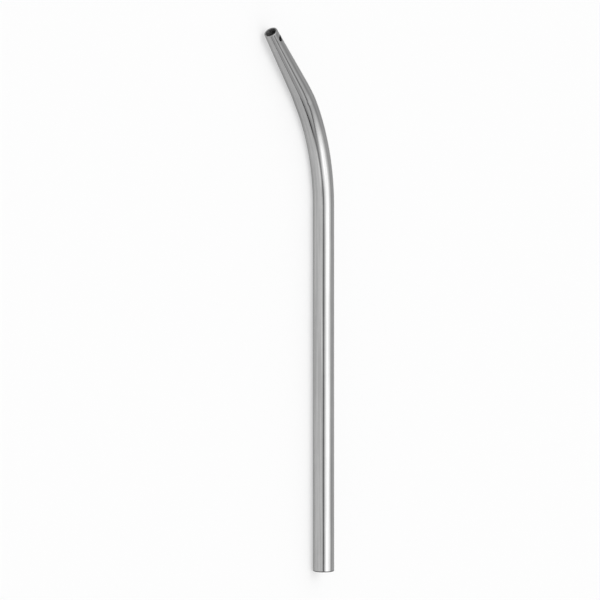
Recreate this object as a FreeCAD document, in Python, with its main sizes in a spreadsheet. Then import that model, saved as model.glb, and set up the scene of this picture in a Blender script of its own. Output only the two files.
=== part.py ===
import FreeCAD, Part
import math
import os

import Sketcher

# Suction cannula: one stainless steel tube, open at both ends. A straight shaft leads into a
# single bend, and the nose beyond the bend narrows to the tip, which has one vent in its side.
# The origin is the centre of the connector end, with the shaft along +X. The tube bends
# towards +Y and lies on its side in the XY plane, so that the vent faces up.

# Sizes, in millimetres and degrees
SIZES = {
    # the tube that the cannula is made from
    "outer_diameter": 6.0,
    "wall": 0.5,
    # the centre line
    "shaft_length": 103.0,
    "bend_radius": 42.0,
    "bend_angle": 50.0,
    "nose_length": 20.1,
    # the narrowing, which starts this many degrees before the end of the bend
    "taper_lead": 7.5,
    "tip_diameter": 3.75,
    "tip_wall": 0.4,
    # the side vent: its setback along the nose from the tip's end face, and its turn about the
    # nose, in degrees, from straight up towards the outer side of the bend
    "vent_diameter": 1.7,
    "vent_setback": 2.6,
    "vent_turn": 8.0,
    # the polished edges
    "connector_round": 0.25,
    "tip_round": 0.15,
    "bore_round": 0.1,
    "vent_round": 0.08,
}

# What follows from the sizes: the bend before the narrowing, and the outside diameter and the
# bore at the shaft, at the tip and, by an even rate of taper, at the neck where the bend ends
FULL_BORE_BEND = "sizes.bend_angle - sizes.taper_lead"
SHAFT_OUTSIDE = "sizes.outer_diameter"
SHAFT_BORE = "(sizes.outer_diameter - 2 * sizes.wall)"
TIP_OUTSIDE = "sizes.tip_diameter"
TIP_BORE = "(sizes.tip_diameter - 2 * sizes.tip_wall)"
TAPER_LENGTH = "(sizes.taper_lead * pi / 180 * sizes.bend_radius + sizes.nose_length)"
NECK_SHARE = f"sizes.nose_length / {TAPER_LENGTH}"
NECK_OUTSIDE = f"{TIP_OUTSIDE} + ({SHAFT_OUTSIDE} - {TIP_OUTSIDE}) * {NECK_SHARE}"
NECK_BORE = f"{TIP_BORE} + ({SHAFT_BORE} - {TIP_BORE}) * {NECK_SHARE}"

# Which point of a line, arc or circle a constraint holds
START = 1
END = 2
CENTRE = 3
SKETCH_ORIGIN = (-1, 1)

NODE = "cannula_tube"


def make_sheet(doc):
    """Puts every size in a cell of its own, under its own name."""
    sheet = doc.addObject("Spreadsheet::Sheet", "sizes")
    for row, (name, value) in enumerate(SIZES.items(), start=1):
        sheet.set(f"A{row}", name)
        sheet.set(f"B{row}", str(value))
        sheet.setAlias(f"B{row}", name)
    doc.recompute()


def origin_plane(body, role):
    """Returns one of the body's own origin planes."""
    return next(item for item in body.Origin.OriginFeatures if item.Role == role)


def new_sketch(body, name, support, mode="FlatFace"):
    """Starts a sketch of the body on a plane or across an edge."""
    sketch = body.newObject("Sketcher::SketchObject", name)
    sketch.AttachmentSupport = support
    sketch.MapMode = mode
    return sketch


def dimension(sketch, name, expression, *constraint):
    """Adds a dimension to the sketch and ties it to the sizes."""
    index = sketch.addConstraint(Sketcher.Constraint(*constraint))
    sketch.renameConstraint(index, name)
    sketch.setExpression(f"Constraints.{name}", expression)


def bend_point(angle):
    """Returns the centre line's point at an angle in degrees into the bend."""
    turn = math.radians(angle)
    along = SIZES["shaft_length"] + SIZES["bend_radius"] * math.sin(turn)
    across = SIZES["bend_radius"] * (1 - math.cos(turn))
    return FreeCAD.Vector(along, across, 0)


def nose_point(distance):
    """Returns the centre line's point at a distance past the bend."""
    turn = math.radians(SIZES["bend_angle"])
    direction = FreeCAD.Vector(math.cos(turn), math.sin(turn), 0)
    return bend_point(SIZES["bend_angle"]) + direction * distance


def shaft_bore():
    """Returns the bore's diameter in the shaft."""
    return SIZES["outer_diameter"] - 2 * SIZES["wall"]


def tip_bore():
    """Returns the bore's diameter at the tip."""
    return SIZES["tip_diameter"] - 2 * SIZES["tip_wall"]


def narrowed(shaft_value, tip_value, setback):
    """Returns what an even narrowing makes of a diameter at a distance back from the tip."""
    taper_length = math.radians(SIZES["taper_lead"]) * SIZES["bend_radius"] + SIZES["nose_length"]
    return tip_value + (shaft_value - tip_value) * setback / taper_length


def bend_arc(start_angle, end_angle):
    """Returns the arc of the centre line between two angles of the bend."""
    middle = bend_point((start_angle + end_angle) / 2)
    return Part.Arc(bend_point(start_angle), middle, bend_point(end_angle))


def make_centre_line(body):
    """Draws the centre line: shaft, full-bore bend, narrowing bend and nose, end to end."""
    path = new_sketch(body, "centre_line", [(origin_plane(body, "XY_Plane"), "")])
    full_angle = SIZES["bend_angle"] - SIZES["taper_lead"]
    connector = FreeCAD.Vector(0, 0, 0)

    shaft = path.addGeometry(Part.LineSegment(connector, bend_point(0)))
    full_bend = path.addGeometry(bend_arc(0, full_angle))
    taper_bend = path.addGeometry(bend_arc(full_angle, SIZES["bend_angle"]))
    nose = path.addGeometry(Part.LineSegment(nose_point(0), nose_point(SIZES["nose_length"])))

    path.addConstraint(Sketcher.Constraint("Coincident", shaft, START, *SKETCH_ORIGIN))
    path.addConstraint(Sketcher.Constraint("Horizontal", shaft))
    path.addConstraint(Sketcher.Constraint("Tangent", shaft, END, full_bend, START))
    path.addConstraint(Sketcher.Constraint("Coincident", full_bend, END, taper_bend, START))
    path.addConstraint(Sketcher.Constraint("Coincident", full_bend, CENTRE, taper_bend, CENTRE))
    path.addConstraint(Sketcher.Constraint("Tangent", taper_bend, END, nose, START))

    dimension(path, "shaft_length", "sizes.shaft_length * 1 mm",
              "DistanceX", shaft, START, shaft, END, SIZES["shaft_length"])
    dimension(path, "bend_radius", "sizes.bend_radius * 1 mm",
              "Radius", full_bend, SIZES["bend_radius"])
    dimension(path, "full_bore_bend", f"({FULL_BORE_BEND}) * 1 deg",
              "Angle", full_bend, math.radians(full_angle))
    dimension(path, "taper_lead", "sizes.taper_lead * 1 deg",
              "Angle", taper_bend, math.radians(SIZES["taper_lead"]))
    dimension(path, "nose_length", "sizes.nose_length * 1 mm",
              "Distance", nose, SIZES["nose_length"])
    return path


def add_circle(sketch, name, diameter, expression):
    """Adds a circle about the sketch's origin, with its diameter tied to the sizes."""
    centre = FreeCAD.Vector(0, 0, 0)
    normal = FreeCAD.Vector(0, 0, 1)
    circle = sketch.addGeometry(Part.Circle(centre, normal, diameter / 2))
    sketch.addConstraint(Sketcher.Constraint("Coincident", circle, CENTRE, *SKETCH_ORIGIN))
    dimension(sketch, name, f"({expression}) * 1 mm", "Diameter", circle, diameter)


def add_ring(sketch, diameters, expressions):
    """Draws the tube's section, from its outside diameter and its bore."""
    for name, diameter, expression in zip(("outside", "bore"), diameters, expressions):
        add_circle(sketch, name, diameter, expression)


def make_shaft(body, path):
    """Sweeps the full-bore tube along the shaft and the first part of the bend."""
    section = new_sketch(body, "shaft_section", [(origin_plane(body, "YZ_Plane"), "")])
    add_ring(section, (SIZES["outer_diameter"], shaft_bore()), (SHAFT_OUTSIDE, SHAFT_BORE))
    shaft = body.newObject("PartDesign::AdditivePipe", "shaft_and_bend")
    shaft.Profile = section
    shaft.Spine = (path, ["Edge1", "Edge2"])


def section_across(body, path, name, edge, position, diameters, expressions):
    """Draws the tube's section square to the centre line, at one end of one of its edges."""
    section = new_sketch(body, name, [(path, edge)], "NormalToEdge")
    section.MapPathParameter = position
    add_ring(section, diameters, expressions)
    return section


def neck_section(body, path):
    """Draws the section where the bend ends and the straight nose starts."""
    outside = narrowed(SIZES["outer_diameter"], SIZES["tip_diameter"], SIZES["nose_length"])
    bore = narrowed(shaft_bore(), tip_bore(), SIZES["nose_length"])
    return section_across(body, path, "neck_section", "Edge4", 0.0,
                          (outside, bore), (NECK_OUTSIDE, NECK_BORE))


def make_tapered_bend(body, path, neck):
    """Sweeps the end of the bend, where the tube starts to narrow, up to the neck's section."""
    start = section_across(body, path, "taper_start_section", "Edge3", 0.0,
                           (SIZES["outer_diameter"], shaft_bore()), (SHAFT_OUTSIDE, SHAFT_BORE))
    body.Document.recompute()
    bend = body.newObject("PartDesign::AdditivePipe", "tapered_bend")
    bend.Profile = start
    bend.Spine = (path, ["Edge3"])
    bend.Transformation = "Multisection"
    bend.Sections = [neck]


def make_nose(body, path, neck):
    """Makes the straight cone from the neck to the tip, at the same rate of taper."""
    tip = section_across(body, path, "tip_section", "Edge4", 1.0,
                         (SIZES["tip_diameter"], tip_bore()), (TIP_OUTSIDE, TIP_BORE))
    body.Document.recompute()
    nose = body.newObject("PartDesign::AdditiveLoft", "nose")
    nose.Profile = neck
    nose.Sections = [tip]
    nose.Ruled = True
    return nose


def vent_frame(body, path):
    """Sets a frame at the vent, on the centre line: its second axis points out of the vent, and
    its third one runs along the nose, away from the tip."""
    frame = body.newObject("PartDesign::CoordinateSystem", "vent_frame")
    frame.AttachmentSupport = [(path, "Edge4")]
    frame.MapMode = "NormalToEdge"
    frame.MapPathParameter = 1.0
    setback = FreeCAD.Vector(0, 0, SIZES["vent_setback"])
    turn = FreeCAD.Rotation(FreeCAD.Vector(0, 0, -1), SIZES["vent_turn"])
    frame.AttachmentOffset = FreeCAD.Placement(setback, turn)
    frame.setExpression("AttachmentOffset.Base.z", "sizes.vent_setback * 1 mm")
    frame.setExpression("AttachmentOffset.Rotation.Angle", "sizes.vent_turn * 1 deg")
    return frame


def make_vent(body, path):
    """Cuts the side vent, square to the nose, through one wall only."""
    outline = new_sketch(body, "vent_outline", [(vent_frame(body, path), "")], "ObjectXZ")
    add_circle(outline, "diameter", SIZES["vent_diameter"], "sizes.vent_diameter")
    vent = body.newObject("PartDesign::Pocket", "vent")
    vent.Profile = outline
    vent.Type = "Length"
    vent.setExpression("Length", "sizes.outer_diameter * 1 mm")
    return vent


def vent_direction():
    """Returns the direction that the vent faces."""
    bend = math.radians(SIZES["bend_angle"])
    turn = math.radians(SIZES["vent_turn"])
    outer_side = FreeCAD.Vector(math.sin(bend), -math.cos(bend), 0)
    return FreeCAD.Vector(0, 0, math.cos(turn)) + outer_side * math.sin(turn)


def rim_edge(shape, centre, diameter):
    """Returns the name of the round edge about a point, found by its place and its length."""
    def mismatch(edge):
        return edge.CenterOfMass.distanceToPoint(centre) + abs(edge.Length - math.pi * diameter)
    closest = min(range(len(shape.Edges)), key=lambda index: mismatch(shape.Edges[index]))
    return f"Edge{closest + 1}"


def round_edge(body, name, centre, diameter, radius_expression):
    """Rounds one round edge of the tube."""
    base = body.Tip
    fillet = body.newObject("PartDesign::Fillet", name)
    fillet.Base = (base, [rim_edge(base.Shape, centre, diameter)])
    fillet.setExpression("Radius", f"({radius_expression}) * 1 mm")
    body.Document.recompute()


def round_ends(body):
    """Rounds the outer and inner edges of both open ends, within the wall's thickness."""
    connector = FreeCAD.Vector(0, 0, 0)
    tip = nose_point(SIZES["nose_length"])
    round_edge(body, "connector_edge", connector, SIZES["outer_diameter"],
               "min(sizes.connector_round; sizes.wall / 2)")
    round_edge(body, "connector_bore_edge", connector, shaft_bore(),
               "min(sizes.bore_round; sizes.wall / 4)")
    round_edge(body, "tip_edge", tip, SIZES["tip_diameter"],
               "min(sizes.tip_round; sizes.tip_wall / 2)")
    round_edge(body, "tip_bore_edge", tip, tip_bore(),
               "min(sizes.bore_round; sizes.tip_wall / 4)")


def round_vent(body):
    """Rounds the vent's outer edge."""
    setback = SIZES["vent_setback"]
    outside = narrowed(SIZES["outer_diameter"], SIZES["tip_diameter"], setback)
    mouth = nose_point(SIZES["nose_length"] - setback) + vent_direction() * (outside / 2)
    round_edge(body, "vent_edge", mouth, SIZES["vent_diameter"],
               "min(sizes.vent_round; sizes.tip_wall / 4)")


def check_model(doc, body):
    """Stops if any object failed or the tube isn't one sound solid."""
    for item in doc.Objects:
        if "Invalid" in item.State or "Error" in item.State:
            raise RuntimeError(f"{item.Name} failed: {item.State}")
    if body.Shape.isNull() or not body.Shape.isValid():
        raise RuntimeError(f"{body.Label} has no sound shape")
    if len(body.Shape.Solids) != 1:
        raise RuntimeError(f"{body.Label} isn't one solid")


def main():
    doc = FreeCAD.newDocument("suction_cannula")
    make_sheet(doc)

    body = doc.addObject("PartDesign::Body", NODE)
    body.Label = NODE
    path = make_centre_line(body)
    doc.recompute()
    make_shaft(body, path)
    doc.recompute()
    neck = neck_section(body, path)
    make_tapered_bend(body, path, neck)
    doc.recompute()
    nose = make_nose(body, path, neck)
    doc.recompute()
    vent = make_vent(body, path)
    doc.recompute()
    removed = nose.Shape.Volume - vent.Shape.Volume
    print(f"vent removes {removed:.3f} mm3")
    if removed <= 0:
        raise RuntimeError("the vent cuts nothing")
    round_vent(body)
    round_ends(body)

    check_model(doc, body)
    os.makedirs("parts", exist_ok=True)
    body.Shape.exportStep(f"parts/{body.Label}.step")
    print(f"{body.Label}: {body.Shape.Volume:.2f} mm3, {body.Shape.BoundBox}")


main()
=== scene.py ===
import math

import bpy
from mathutils import Matrix, Vector


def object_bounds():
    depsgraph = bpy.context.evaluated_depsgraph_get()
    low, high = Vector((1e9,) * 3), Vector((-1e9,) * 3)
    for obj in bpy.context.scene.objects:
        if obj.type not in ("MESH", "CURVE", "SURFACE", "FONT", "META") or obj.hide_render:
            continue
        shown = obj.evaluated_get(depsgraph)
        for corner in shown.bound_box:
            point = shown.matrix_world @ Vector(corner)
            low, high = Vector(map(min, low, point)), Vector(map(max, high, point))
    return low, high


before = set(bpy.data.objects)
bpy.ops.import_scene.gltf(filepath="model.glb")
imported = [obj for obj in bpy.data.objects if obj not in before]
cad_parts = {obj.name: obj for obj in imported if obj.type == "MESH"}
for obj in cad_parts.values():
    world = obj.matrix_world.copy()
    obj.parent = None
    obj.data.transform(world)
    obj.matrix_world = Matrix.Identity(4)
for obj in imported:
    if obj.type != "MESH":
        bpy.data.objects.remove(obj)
cad_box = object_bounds()

NODE = "cannula_tube"

# The tube, in metres: a straight shaft along +X, a bend towards +Y, and the nose, along which
# the tube narrows from a little before the bend's end
SHAFT_LENGTH = 0.103
BEND_RADIUS = 0.042
BEND_ANGLE = math.radians(50)
TAPER_LEAD = math.radians(7.5)
NOSE_LENGTH = 0.0201
SHAFT_RADIUS = 0.003
TIP_RADIUS = 0.001875

# Places on its centre line, as distances from the connector's end
BEND_MIDDLE = SHAFT_LENGTH + BEND_ANGLE / 2 * BEND_RADIUS
TAPER_START = SHAFT_LENGTH + (BEND_ANGLE - TAPER_LEAD) * BEND_RADIUS
TIP_END = SHAFT_LENGTH + BEND_ANGLE * BEND_RADIUS + NOSE_LENGTH

# How much light the steel returns, from 0 to 1: where it is polished outside, from its darkest to
# its lightest tone, at a grazing angle, where the connector's edge is ground, on the cut edges, and
# deep inside the bore, where the dull finish is painted darker as shade. The nose returns a share
# of
# what the shaft does: painted shade, which darkens it and its reflections
POLISHED_SHADES = (0.40, 0.49)
GRAZING_SHADE = 0.7
GROUND_SHADE = 0.18
CUT_SHADE = 0.28
BORE_PAINTED_SHADE = 0.10
NOSE_PAINTED_SHADE_SHARE = 0.86

# Where these finishes change, in metres: the ground edge ends along the tube, the dull finish of
# the cuts and the bore starts below the outside, and the bore darkens in from its ends as painted
# shade
GROUND_END = (0.00028, 0.0004)
DULL_START = (0.00006, 0.00014)
BORE_PAINTED_SHADE_FADE = 0.0027

# How rough the steel is. The fine lines give the polished outside its roughness, and the clouds
# and the scuffs add to it. The dull finish is also a little less metallic
LINES_ROUGHNESS = (0.07, 0.13)
CLOUDS_ROUGHNESS = 0.03
SCUFFS_ROUGHNESS = 0.06
GROUND_ROUGHNESS = 0.25
DULL_ROUGHNESS = 0.5
DULL_METAL = 0.7

# The noise values between which each pattern goes from nothing to its full effect
TONE_RANGE = (0.38, 0.62)
LINES_RANGE = (0.3, 0.75)
CLOUDS_RANGE = (0.35, 0.7)
SCUFFS_RANGE = (0.6, 0.75)
GRAIN_RANGE = (0.3, 0.7)

# What the broad lines and the clouds add to the tone, and how far the grain changes the dull shade
LINES_IN_TONE = 0.85
CLOUDS_IN_TONE = 0.15
GRAIN_SHARES = (0.8, 1.2)

# The relief: its depth in metres and its strength, and how deep the fine lines and the grain are
# as shares of the broad lines' depth
RELIEF_DEPTH = 0.000004
RELIEF_STRENGTH = 0.5
FINE_LINES_RELIEF = 0.12
GRAIN_RELIEF = 1.5

# The floor: its own colour, the even light that the camera and the steel see in it as well, and
# half its width in metres
FLOOR_COLOUR = 0.46
FLOOR_GLOW = 0.48
FLOOR_HALF = 3.0

# The studio is described by direction. A height is an angle about the shaft's line, in degrees:
# 0 is level on the camera's side, 90 is overhead and 180 is level behind. A lean is the angle, in
# degrees, at which a direction leans towards the connector's end. A pair says where a change
# starts and ends. A level is a brightness, where 1 is white. The soft light overhead comes first.
# Its end on the tip's side is given by the direction's X
SOFT_LIGHT_LEVEL = 1.7
SOFT_LIGHT_RISE_HEIGHTS = (26, 60)
SOFT_LIGHT_FADE_HEIGHTS = (72, 126)
SOFT_LIGHT_END_LEANS = (43, 22)
SOFT_LIGHT_TIP_END = (0.45, 0.75)

# The soft light reaches further back where a direction leans more. Its end on the connector's side
# draws back above and below its middle, in a curve that is given by the direction's X
SLANT = 6
SLANT_LEANS = (35, 15)
CURVE_MIDDLE_HEIGHT = 70
CURVE_REACH = 30
CURVE = 0.04

# The soft light's frame: a darker band past its end, with its half width given by X
FRAME_LEAN = 44.5
FRAME_HALF_WIDTH = (0.02, 0.05)
FRAME_HEIGHTS = (44, 60)
FRAME_SHARE = 0.35

# The walls: dark in the gap between the backdrop and the soft light, pale from there up and back
GAP_LEVEL = 0.03
WALL_LEVEL = 0.58
BACK_WALL_LEVEL = 0.15
BACK_WALL_HEIGHTS = (124, 144)

# The wall beyond the connector's end, which is dimmer higher up
END_WALL_LEVEL = 0.36
END_WALL_LEANS = (54, 44)
END_WALL_RISE_HEIGHTS = (10, 26)
END_WALL_DIM_HEIGHTS = (30, 52)
END_WALL_DIM_SHARE = 0.7

# The light that spills into the gap on the connector's side
SPILL_LEVEL = 0.27
SPILL_START_LEANS = (18, 4)
SPILL_END_LEANS = (56, 44)
SPILL_HEIGHTS = (30, 55)

# All walls together are lighter towards the connector's side, and a little darker at its far end
SIDE_SHARE = 1.14
SIDE_LEANS = (40, 12)
FAR_SHARE = 0.8
FAR_LEANS = (66, 56)
FAR_HEIGHTS = (40, 60)

# The backdrop, low on the camera's side. It fades upwards across a slanting line, given by the
# direction square to it, and where a direction's Y turns away from the camera's side. It is a
# little lighter towards the tip's side
BACKDROP_LEVEL = 0.97
BACKDROP_SQUARE = Vector((-0.2149, -0.4660, 0.8583))
BACKDROP_FADE = (-0.25, -0.02)
BACKDROP_SIDE_FADE = (0.0, 0.3)
BACKDROP_TIP_SHARE = 1.14
BACKDROP_TIP_LEANS = (5, 1)

# The camera: the photograph shows the tube upright, so the image's up is the shaft's +X, and the
# camera looks down on the lying tube from the side that it bends to. Lengths are in metres, but
# for the sensor's width, which is in millimetres
CAMERA_ELEVATION = math.radians(28.46)
CAMERA_DISTANCE = 0.5271
CAMERA_AIM_ALONG = 0.07641
CAMERA_AIM_ASIDE = -0.00664
SENSOR_WIDTH = 36.0
FRAME_PIXELS = 600
PIXELS_PER_METRE = 3547.4


class Graph:
    """Adds nodes to a node tree and joins them up."""

    def __init__(self, tree):
        self.tree = tree
        self.tree.nodes.clear()

    def node(self, kind, inputs=None, **settings):
        """Adds a node, with its settings, and its inputs by name or number."""
        made = self.tree.nodes.new(kind)
        for name, value in settings.items():
            setattr(made, name, value)
        for name, value in (inputs or {}).items():
            self.put(made.inputs[name], value)
        return made

    def put(self, socket, value):
        """Joins a socket to another's output, or sets it to a plain value."""
        if isinstance(value, bpy.types.NodeSocket):
            self.tree.links.new(value, socket)
        else:
            socket.default_value = value

    def math(self, operation, *values):
        """Returns the result of one arithmetic operation on its values."""
        return self.node("ShaderNodeMath", dict(enumerate(values)), operation=operation).outputs[0]

    def add(self, *values):
        """Returns the sum of several values."""
        total = values[0]
        for value in values[1:]:
            total = self.math("ADD", total, value)
        return total

    def multiply(self, *values):
        """Returns the product of several values."""
        product = values[0]
        for value in values[1:]:
            product = self.math("MULTIPLY", product, value)
        return product

    def ramp(self, value, start, end, low=0.0, high=1.0, shape="SMOOTHSTEP"):
        """Returns a change from low to high as the value goes from start to end."""
        inputs = {"Value": value, "From Min": start, "From Max": end, "To Min": low, "To Max": high}
        made = self.node("ShaderNodeMapRange", inputs, interpolation_type=shape)
        return made.outputs["Result"]

    def slope(self, value, start, end, low=0.0, high=1.0):
        """Returns an even change from low to high as the value goes from start to end."""
        return self.ramp(value, start, end, low, high, shape="LINEAR")

    def mix(self, share, low, high):
        """Returns a value between two, by a share from 0 to 1."""
        return self.node("ShaderNodeMix", {"Factor": share, 2: low, 3: high}).outputs[0]

    def join(self, x, y, z):
        """Returns a vector made of three values."""
        return self.node("ShaderNodeCombineXYZ", {"X": x, "Y": y, "Z": z}).outputs[0]

    def noise(self, vector, scale, detail=2.0, roughness=0.5):
        """Returns a noise value about 0.5 at each point."""
        inputs = {"Vector": vector, "Scale": scale, "Detail": detail, "Roughness": roughness}
        return self.node("ShaderNodeTexNoise", inputs).outputs["Fac"]


def tube_coordinates(graph, place):
    """Unrolls the tube: returns the distance along it, the distance from its centre line, and
    the direction from that line as a sideways and an upward share."""
    parts = graph.node("ShaderNodeSeparateXYZ", {0: place}).outputs
    past_shaft = graph.math("SUBTRACT", parts["X"], SHAFT_LENGTH)
    to_bend_centre = graph.math("SUBTRACT", BEND_RADIUS, parts["Y"])
    raw_turn = graph.math("ARCTAN2", past_shaft, to_bend_centre)
    turn = graph.math("MINIMUM", graph.math("MAXIMUM", raw_turn, 0.0), BEND_ANGLE)
    sine = graph.math("SINE", turn)
    cosine = graph.math("COSINE", turn)

    # the offset from the point of the centre line at that turn
    offset_x = graph.math("SUBTRACT", past_shaft, graph.multiply(sine, BEND_RADIUS))
    offset_y = graph.math("SUBTRACT", graph.multiply(cosine, BEND_RADIUS), to_bend_centre)
    ahead = graph.add(graph.multiply(offset_x, cosine), graph.multiply(offset_y, sine))
    aside = graph.math("SUBTRACT", graph.multiply(offset_y, cosine),
                       graph.multiply(offset_x, sine))

    along = graph.add(graph.multiply(turn, BEND_RADIUS), ahead, SHAFT_LENGTH)
    square = graph.add(graph.multiply(aside, aside), graph.multiply(parts["Z"], parts["Z"]))
    radius = graph.math("SQRT", square)
    sideways = graph.math("DIVIDE", aside, radius)
    upward = graph.math("DIVIDE", parts["Z"], radius)
    return along, radius, sideways, upward


def stretched_noise(graph, coordinates, stretch, scale, **settings):
    """Returns noise drawn out along the tube: the smaller the stretch, the longer the lines."""
    along, _, sideways, upward = coordinates
    place = graph.join(graph.multiply(along, stretch), sideways, upward)
    return graph.noise(place, scale, **settings)


def steel_shade(graph, along, dull, ground, tone, grain):
    """Returns how much light the steel gives back, by its finish and its patterns. The nose and the
    bore deeper in are darkened by painted shade.
    """
    shaft_shade = graph.ramp(tone, *TONE_RANGE, *POLISHED_SHADES)
    # painted shade: from the bend's middle to the taper's start the nose turns darker than the
    # shaft, which darkens its reflections
    nose_painted_shade = graph.ramp(along, BEND_MIDDLE, TAPER_START, 1.0, NOSE_PAINTED_SHADE_SHARE)
    polished_and_painted_nose_shade = graph.multiply(shaft_shade, nose_painted_shade)
    outside_shade = graph.mix(ground, polished_and_painted_nose_shade, GROUND_SHADE)

    # painted shade: the dull finish darkens from the cut ends inwards along the bore, as shade deep
    # inside would
    from_tip = graph.math("SUBTRACT", TIP_END, along)
    from_end = graph.math("MINIMUM", along, from_tip)
    cut_and_painted_bore_shade = graph.slope(from_end, 0.0, BORE_PAINTED_SHADE_FADE, CUT_SHADE, BORE_PAINTED_SHADE)
    grain_share = graph.slope(grain, *GRAIN_RANGE, *GRAIN_SHARES)
    dull_and_painted_bore_shade = graph.multiply(grain_share, cut_and_painted_bore_shade)
    return graph.mix(dull, outside_shade, dull_and_painted_bore_shade)


def steel_roughness(graph, dull, ground, fine_lines, clouds, scuffs):
    """Returns the steel's roughness, by its finish and its patterns."""
    polished = graph.add(graph.ramp(fine_lines, *LINES_RANGE, *LINES_ROUGHNESS),
                         graph.ramp(clouds, *CLOUDS_RANGE, 0.0, CLOUDS_ROUGHNESS),
                         graph.multiply(scuffs, SCUFFS_ROUGHNESS))
    outside = graph.mix(ground, polished, GROUND_ROUGHNESS)
    return graph.mix(dull, outside, DULL_ROUGHNESS)


def steel_relief(graph, dull, broad_lines, fine_lines, grain):
    """Returns the direction that the steel faces, with its lines outside and its grain inside."""
    lines_height = graph.add(broad_lines, graph.multiply(fine_lines, FINE_LINES_RELIEF))
    height = graph.mix(dull, lines_height, graph.multiply(grain, GRAIN_RELIEF))
    inputs = {"Strength": RELIEF_STRENGTH, "Distance": RELIEF_DEPTH, "Height": height}
    return graph.node("ShaderNodeBump", inputs).outputs[0]


def steel_material():
    """Makes bright drawn stainless steel: fine lines along the tube, a soft cloudiness and a few
    scuffs on the polished outside, a ground edge at the connector's end, and a dull, grainy finish
    in the bore and on the cut edges. Painted shade darkens the nose and the bore in from its ends."""
    material = bpy.data.materials.new("drawn_steel")
    material.use_nodes = True
    graph = Graph(material.node_tree)
    place = graph.node("ShaderNodeTexCoord").outputs["Object"]
    coordinates = tube_coordinates(graph, place)
    along, radius, _, _ = coordinates

    # the shares of the dull finish, below the polished outside, and of the ground edge
    outside_radius = graph.slope(along, TAPER_START, TIP_END, SHAFT_RADIUS, TIP_RADIUS)
    depth = graph.math("SUBTRACT", outside_radius, radius)
    dull = graph.ramp(depth, *DULL_START)
    ground = graph.ramp(along, *GROUND_END, 1.0, 0.0)

    # the lines that the drawing die leaves, the scuffs of handling, and the uneven polish
    broad_lines = stretched_noise(graph, coordinates, stretch=5.0, scale=6.0, detail=3.0,
                                  roughness=0.55)
    fine_lines = stretched_noise(graph, coordinates, stretch=6.0, scale=34.0, detail=4.0,
                                 roughness=0.7)
    short_marks = stretched_noise(graph, coordinates, stretch=60.0, scale=3.0, detail=5.0)
    scuffs = graph.ramp(short_marks, *SCUFFS_RANGE)
    clouds = graph.noise(place, scale=260.0, detail=3.0, roughness=0.6)
    grain = graph.noise(place, scale=9000.0, detail=2.0)
    tone = graph.add(graph.multiply(broad_lines, LINES_IN_TONE),
                     graph.multiply(clouds, CLOUDS_IN_TONE))

    shade = steel_shade(graph, along, dull, ground, tone, grain)
    shader = graph.node("ShaderNodeBsdfPrincipled", {
        "Base Color": graph.join(shade, shade, shade),
        "Metallic": graph.mix(dull, 1.0, DULL_METAL),
        "Specular Tint": (GRAZING_SHADE, GRAZING_SHADE, GRAZING_SHADE, 1),
        "Roughness": steel_roughness(graph, dull, ground, fine_lines, clouds, scuffs),
        "Normal": steel_relief(graph, dull, broad_lines, fine_lines, grain),
    })
    graph.node("ShaderNodeOutputMaterial", {"Surface": shader.outputs[0]})
    return material


def floor_material():
    """Makes the plain white floor: it takes shadows, and an even glow on top makes it white to
    the camera and in the steel's reflections."""
    material = bpy.data.materials.new("white_floor")
    material.use_nodes = True
    graph = Graph(material.node_tree)
    colour = (FLOOR_COLOUR, FLOOR_COLOUR, FLOOR_COLOUR, 1)
    diffuse = graph.node("ShaderNodeBsdfDiffuse", {"Color": colour})
    rays = graph.node("ShaderNodeLightPath").outputs
    seen = graph.add(rays["Is Camera Ray"], rays["Is Glossy Ray"], rays["Is Transmission Ray"])
    seen = graph.math("MINIMUM", seen, 1.0)
    glow = graph.node("ShaderNodeEmission", {"Strength": graph.multiply(seen, FLOOR_GLOW)})
    both = graph.node("ShaderNodeAddShader", {0: diffuse.outputs[0], 1: glow.outputs[0]})
    graph.node("ShaderNodeOutputMaterial", {"Surface": both.outputs[0]})
    return material


def make_floor(height):
    """Lays the floor under the part."""
    sides = ((-1, -1), (1, -1), (1, 1), (-1, 1))
    corners = [(x * FLOOR_HALF, y * FLOOR_HALF, height) for x, y in sides]
    mesh = bpy.data.meshes.new("floor")
    mesh.from_pydata(corners, [], [(0, 1, 2, 3)])
    mesh.materials.append(floor_material())
    floor = bpy.data.objects.new("floor", mesh)
    bpy.context.scene.collection.objects.link(floor)


def toward_connector(lean):
    """Returns the X share of a direction that leans this many degrees towards -X."""
    return -math.sin(math.radians(lean))


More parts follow.
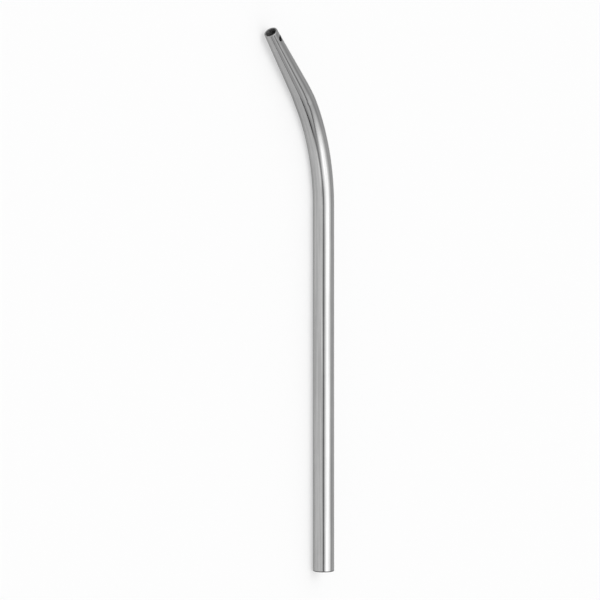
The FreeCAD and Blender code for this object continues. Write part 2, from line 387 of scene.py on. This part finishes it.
class Studio:
    """Works out how bright a white studio is in each direction: a wide soft light overhead, a
    pale backdrop low on the camera's side, a dark gap between the two, and pale walls, the palest
    beyond the connector's end."""

    def __init__(self, graph):
        self.graph = graph
        self.direction = graph.node("ShaderNodeTexCoord").outputs["Generated"]
        parts = graph.node("ShaderNodeSeparateXYZ", {0: self.direction}).outputs
        self.x = parts["X"]
        self.y = parts["Y"]
        self.height = graph.math("ARCTAN2", parts["Z"], self.y)

    def by_height(self, heights, low=0.0, high=1.0):
        """Returns a smooth change from low to high between two heights."""
        start, end = [math.radians(height) for height in heights]
        return self.graph.ramp(self.height, start, end, low, high)

    def even_by_height(self, heights, low=0.0, high=1.0):
        """Returns an even change from low to high between two heights."""
        start, end = [math.radians(height) for height in heights]
        return self.graph.slope(self.height, start, end, low, high)

    def by_lean(self, leans, low=0.0, high=1.0):
        """Returns a smooth change from low to high between two leans."""
        start, end = [toward_connector(lean) for lean in leans]
        return self.graph.ramp(self.x, start, end, low, high)

    def curved_x(self):
        """Returns the direction's X, less the curve of the soft light's end."""
        graph = self.graph
        off_middle = graph.math("SUBTRACT", self.height, math.radians(CURVE_MIDDLE_HEIGHT))
        off_middle = graph.math("ABSOLUTE", off_middle)
        curve = graph.ramp(off_middle, 0.0, math.radians(CURVE_REACH), 0.0, CURVE)
        return graph.math("SUBTRACT", self.x, curve)

    def soft_light(self, curved_x):
        """Returns the level of the soft light overhead: across its width and along its length."""
        graph = self.graph
        start, end = [toward_connector(lean) for lean in SLANT_LEANS]
        slant = graph.slope(self.x, start, end, math.radians(SLANT), 0.0)
        start, end = [math.radians(height) for height in SOFT_LIGHT_FADE_HEIGHTS]
        fade = graph.ramp(graph.math("SUBTRACT", self.height, slant), start, end, 1.0, 0.0)
        across = graph.multiply(self.even_by_height(SOFT_LIGHT_RISE_HEIGHTS), fade)

        start, end = [toward_connector(lean) for lean in SOFT_LIGHT_END_LEANS]
        lengthwise = graph.multiply(graph.slope(curved_x, start, end),
                                    graph.ramp(self.x, *SOFT_LIGHT_TIP_END, 1.0, 0.0))
        return graph.multiply(across, lengthwise, SOFT_LIGHT_LEVEL)

    def frame_share(self, curved_x):
        """Returns the share of the walls' level that the soft light's frame leaves."""
        graph = self.graph
        off_frame = graph.math("SUBTRACT", curved_x, toward_connector(FRAME_LEAN))
        off_frame = graph.math("ABSOLUTE", off_frame)
        band = graph.multiply(graph.ramp(off_frame, *FRAME_HALF_WIDTH, 1.0, 0.0),
                              self.by_height(FRAME_HEIGHTS))
        return graph.mix(band, 1.0, FRAME_SHARE)

    def end_wall(self):
        """Returns what the wall beyond the connector's end adds to the level."""
        return self.graph.multiply(self.by_lean(END_WALL_LEANS, END_WALL_LEVEL, 0.0),
                                   self.even_by_height(END_WALL_RISE_HEIGHTS),
                                   self.by_height(END_WALL_DIM_HEIGHTS, 1.0, END_WALL_DIM_SHARE))

    def spill(self):
        """Returns what the light that spills into the gap adds to the level."""
        return self.graph.multiply(self.by_lean(SPILL_START_LEANS, SPILL_LEVEL, 0.0),
                                   self.by_lean(SPILL_END_LEANS),
                                   self.by_height(SPILL_HEIGHTS, 1.0, 0.0))

    def walls(self, curved_x):
        """Returns the level of the walls and of the gap."""
        graph = self.graph
        level = graph.add(self.even_by_height(SOFT_LIGHT_RISE_HEIGHTS, GAP_LEVEL, WALL_LEVEL),
                          self.end_wall(), self.spill(),
                          self.by_height(BACK_WALL_HEIGHTS, 0.0, BACK_WALL_LEVEL))
        far = graph.multiply(self.by_lean(FAR_LEANS, 1.0, 0.0), self.by_height(FAR_HEIGHTS))
        return graph.multiply(level, self.frame_share(curved_x), graph.mix(far, 1.0, FAR_SHARE),
                              self.by_lean(SIDE_LEANS, SIDE_SHARE, 1.0))

    def backdrop(self):
        """Returns the level of the backdrop."""
        graph = self.graph
        across_line = graph.node("ShaderNodeVectorMath", {0: self.direction, 1: BACKDROP_SQUARE},
                                 operation="DOT_PRODUCT").outputs["Value"]
        return graph.multiply(graph.slope(across_line, *BACKDROP_FADE, BACKDROP_LEVEL, 0.0),
                              graph.ramp(self.y, *BACKDROP_SIDE_FADE),
                              self.by_lean(BACKDROP_TIP_LEANS, 1.0, BACKDROP_TIP_SHARE))


def make_studio():
    """Lights the part from all round, as a white studio does."""
    world = bpy.data.worlds.new("studio")
    world.use_nodes = True
    bpy.context.scene.world = world
    graph = Graph(world.node_tree)
    studio = Studio(graph)
    curved_x = studio.curved_x()
    level = graph.add(studio.walls(curved_x), studio.soft_light(curved_x), studio.backdrop())
    background = graph.node("ShaderNodeBackground", {"Color": (1, 1, 1, 1), "Strength": level})
    graph.node("ShaderNodeOutputWorld", {"Surface": background.outputs[0]})


def make_camera():
    """Sets the camera at the photograph's angle, with the shaft upright in the frame."""
    up = Vector((1, 0, 0))
    back = Vector((0, math.cos(CAMERA_ELEVATION), math.sin(CAMERA_ELEVATION)))
    right = up.cross(back)
    aim = Vector((CAMERA_AIM_ALONG, 0, 0)) + CAMERA_AIM_ASIDE * right
    data = bpy.data.cameras.new("camera")
    data.sensor_width = SENSOR_WIDTH
    data.lens = SENSOR_WIDTH * CAMERA_DISTANCE * PIXELS_PER_METRE / FRAME_PIXELS
    camera = bpy.data.objects.new("camera", data)
    turn = Matrix((right, up, back)).transposed().to_4x4()
    camera.matrix_world = Matrix.Translation(aim + CAMERA_DISTANCE * back) @ turn
    bpy.context.scene.collection.objects.link(camera)
    bpy.context.scene.camera = camera


def dress_tube():
    """Gives the tube its steel."""
    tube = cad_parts[NODE]
    tube.data.materials.clear()
    tube.data.materials.append(steel_material())


bpy.context.scene.view_settings.view_transform = "Standard"
dress_tube()
make_floor(cad_box[0].z)
make_studio()
make_camera()
